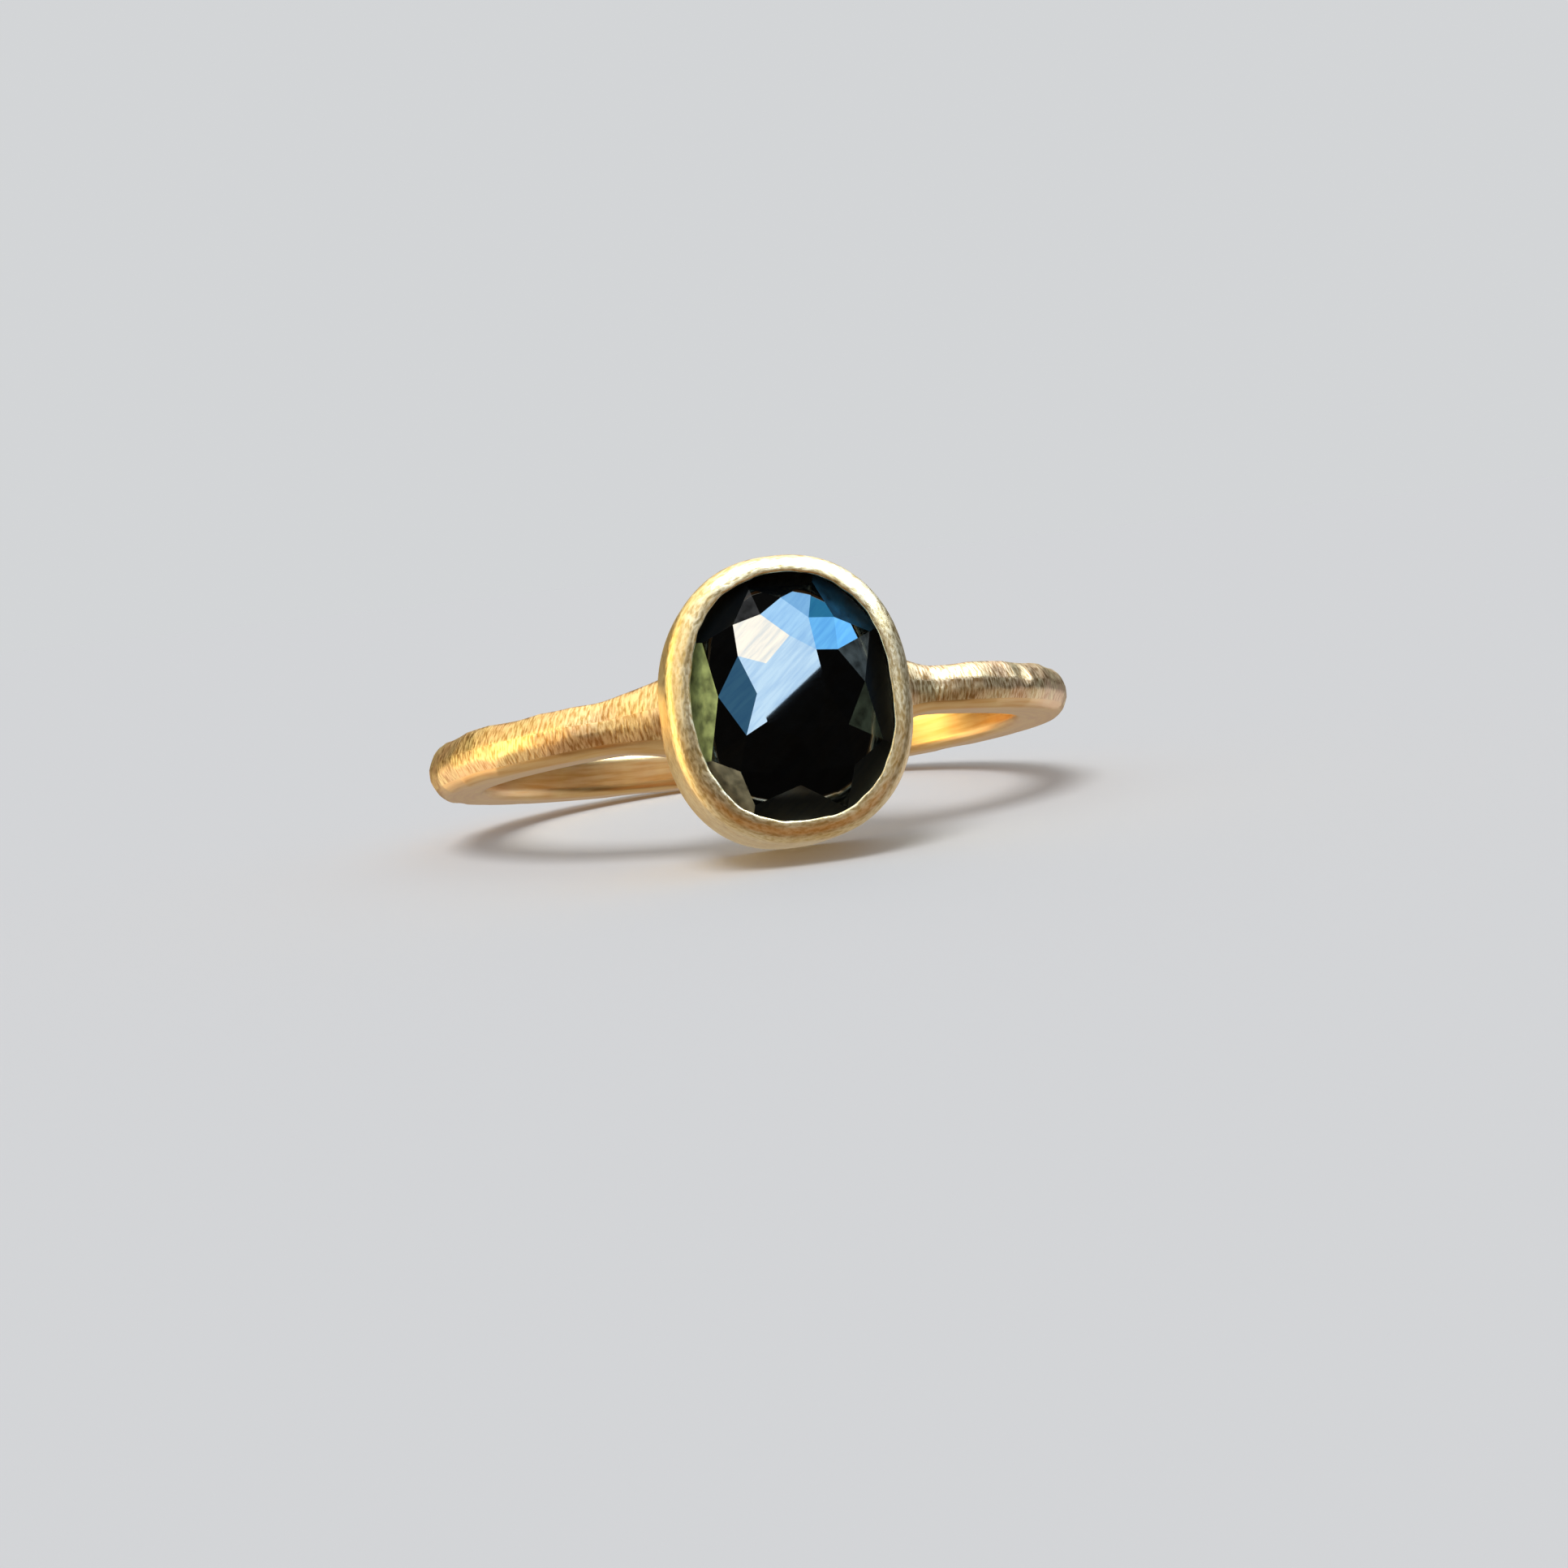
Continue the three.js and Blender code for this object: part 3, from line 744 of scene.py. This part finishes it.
# What the gold mirrors, in the same columns.
GOLD_PANELS = [
    ("front softbox", 16, 80, 0.5, 0.56, 0.3, 0, "#eef3ff", 6),
    ("right softbox", 62, 55, 0.5, 0.5, 0.34, 0, "#c8deff", 9),
    ("left softbox", -50, 30, 0.5, 0.3, 0.25, 0, "#fffbf0", 2.2),
    ("warm window", -101, 8, 0.5, 0.22, 0.44, 0, "#ffe9aa", 4.2),
    ("warm wall", -76, 2, 0.55, 0.3, 0.6, 0, "#f8d4bc", 0.4),
    ("left skylight", -125, 50, 0.5, 0.5, 0.4, 0, "#f6e8bc", 1.5),
    ("right skylight", 120, 50, 0.5, 0.5, 0.4, 0, "#e4ecfa", 1.6),
    ("back softbox", 175, 48, 0.6, 0.4, 0.3, 0, "#ffead4", 1.6),
    ("front fill", 34, 4, 0.6, 0.8, 0.5, 0, "#f4e6d0", 0.36),
    ("table glow", 180, -60, 0.15, 1.2, 0.3, 0, "#f2e9de", 0.54),
    ("table at the left", -125, -18, 0.5, 0.3, 0.25, 0, "#ffe2bc", 1.2),
    ("table at the right", 125, -18, 0.5, 0.3, 0.25, 0, "#c6cbe8", 0.75),
    ("table front", 0, -42, 0.3, 0.8, 0.25, 0, "#e6ac74", 0.48),
]

# The daylight on the floor: its strength, the width of its source in degrees, and its turns about X and Y.
DAYLIGHT = 1.4
DAYLIGHT_WIDTH = 28
DAYLIGHT_TURNS = (28, -14)

# The room: even light on the floor, the backdrop, and the dim walls that the ring mirrors, by height: 0 is
# straight down, 0.5 level and 1 straight up.
EVEN_LIGHT = ("#f6f7f8", 0.52)
BACKDROP = ("#dfe1e3", 0.885)
DIM_WALLS = [(0.3, "#2b2721"), (0.5, "#3d372d"), (0.56, "#2c2822"), (1.0, "#3b3833")]


def floor():
    turns = [2 * math.pi * k / FLOOR_SIDES for k in range(FLOOR_SIDES)]
    corners = [(FLOOR_RADIUS * math.cos(t), FLOOR_RADIUS * math.sin(t), 0) for t in turns]
    mesh = bpy.data.meshes.new("floor")
    mesh.from_pydata(corners, [], [range(FLOOR_SIDES)])
    mesh.materials.append(floor_paper())
    piece = bpy.data.objects.new("floor", mesh)
    bpy.context.collection.objects.link(piece)
    # The panels below the paper shine through it, and the ring mirrors them instead of it.
    piece.visible_glossy = False
    piece.visible_shadow = False
    return piece


def lit_pieces(name, pieces):
    """A collection of the pieces that a light reaches."""
    collection = bpy.data.collections.new(name)
    for piece in pieces:
        collection.objects.link(piece)
    return collection


def panel(lit, name, azimuth, elevation, distance, width, height, turn, colour, radiance):
    """A soft light panel that faces the stone, from a row of a table, and lights only the pieces in lit."""
    a, e = math.radians(azimuth), math.radians(elevation)
    toward = Vector((math.sin(a) * math.cos(e), -math.cos(a) * math.cos(e), math.sin(e)))
    data = bpy.data.lights.new(name, "AREA")
    data.shape = "RECTANGLE"
    data.size, data.size_y = width, height
    data.color = linear(colour)[:3]
    data.energy = radiance * math.pi * width * height
    light = bpy.data.objects.new(name, data)
    facing = toward.to_track_quat("Z", "Y").to_matrix() @ Matrix.Rotation(math.radians(turn), 3, "Z")
    light.matrix_world = Matrix.Translation(STONE_PLACE + toward * distance) @ facing.to_4x4()
    light.visible_camera = False
    light.light_linking.receiver_collection = lit
    bpy.context.collection.objects.link(light)


def daylight(lit):
    """Even daylight from above, in front and a little to the left, which gives the paper its soft shadow."""
    data = bpy.data.lights.new("daylight", "SUN")
    data.energy = DAYLIGHT
    data.angle = math.radians(DAYLIGHT_WIDTH)
    light = bpy.data.objects.new("daylight", data)
    light.rotation_euler = (*(math.radians(turn) for turn in DAYLIGHT_TURNS), 0)
    light.light_linking.receiver_collection = lit
    bpy.context.collection.objects.link(light)


def room():
    """The room round the ring: even light on the floor, a plain pale backdrop, and what the ring mirrors,
    which is a dim warm room."""
    world = bpy.data.worlds.new("room")
    world.use_nodes = True
    tree = world.node_tree
    tree.nodes.clear()
    place = add(tree, "ShaderNodeTexCoord")
    axes = add(tree, "ShaderNodeSeparateXYZ", {"Vector": place.outputs["Generated"]})
    height = add(tree, "ShaderNodeMapRange", {"Value": axes.outputs["Z"], "From Min": -1})
    walls = add(tree, "ShaderNodeValToRGB", {"Fac": height.outputs["Result"]}, DIM_WALLS)
    mirrored = add(tree, "ShaderNodeBackground", {"Color": walls.outputs["Color"]})
    even, pale = (
        add(tree, "ShaderNodeBackground", {"Color": linear(colour), "Strength": strength})
        for colour, strength in (EVEN_LIGHT, BACKDROP)
    )
    path = add(tree, "ShaderNodeLightPath")
    inner = add(
        tree,
        "ShaderNodeMixShader",
        {0: path.outputs["Is Diffuse Ray"], 1: mirrored.outputs[0], 2: even.outputs[0]},
    )
    outer = add(
        tree,
        "ShaderNodeMixShader",
        {0: path.outputs["Is Camera Ray"], 1: inner.outputs[0], 2: pale.outputs[0]},
    )
    add(tree, "ShaderNodeOutputWorld", {"Surface": outer.outputs[0]})
    bpy.context.scene.world = world


studio_floor = floor()
stone_only = lit_pieces("mirrored by the stone", [stone])
gold_only = lit_pieces("mirrored by the gold", gold_pieces)
for row in STONE_PANELS:
    panel(stone_only, *row)
for row in GOLD_PANELS:
    panel(gold_only, *row)
daylight(lit_pieces("lit floor", [studio_floor]))
room()
bpy.context.scene.view_settings.view_transform = "Standard"

bpy.context.view_layer.update()
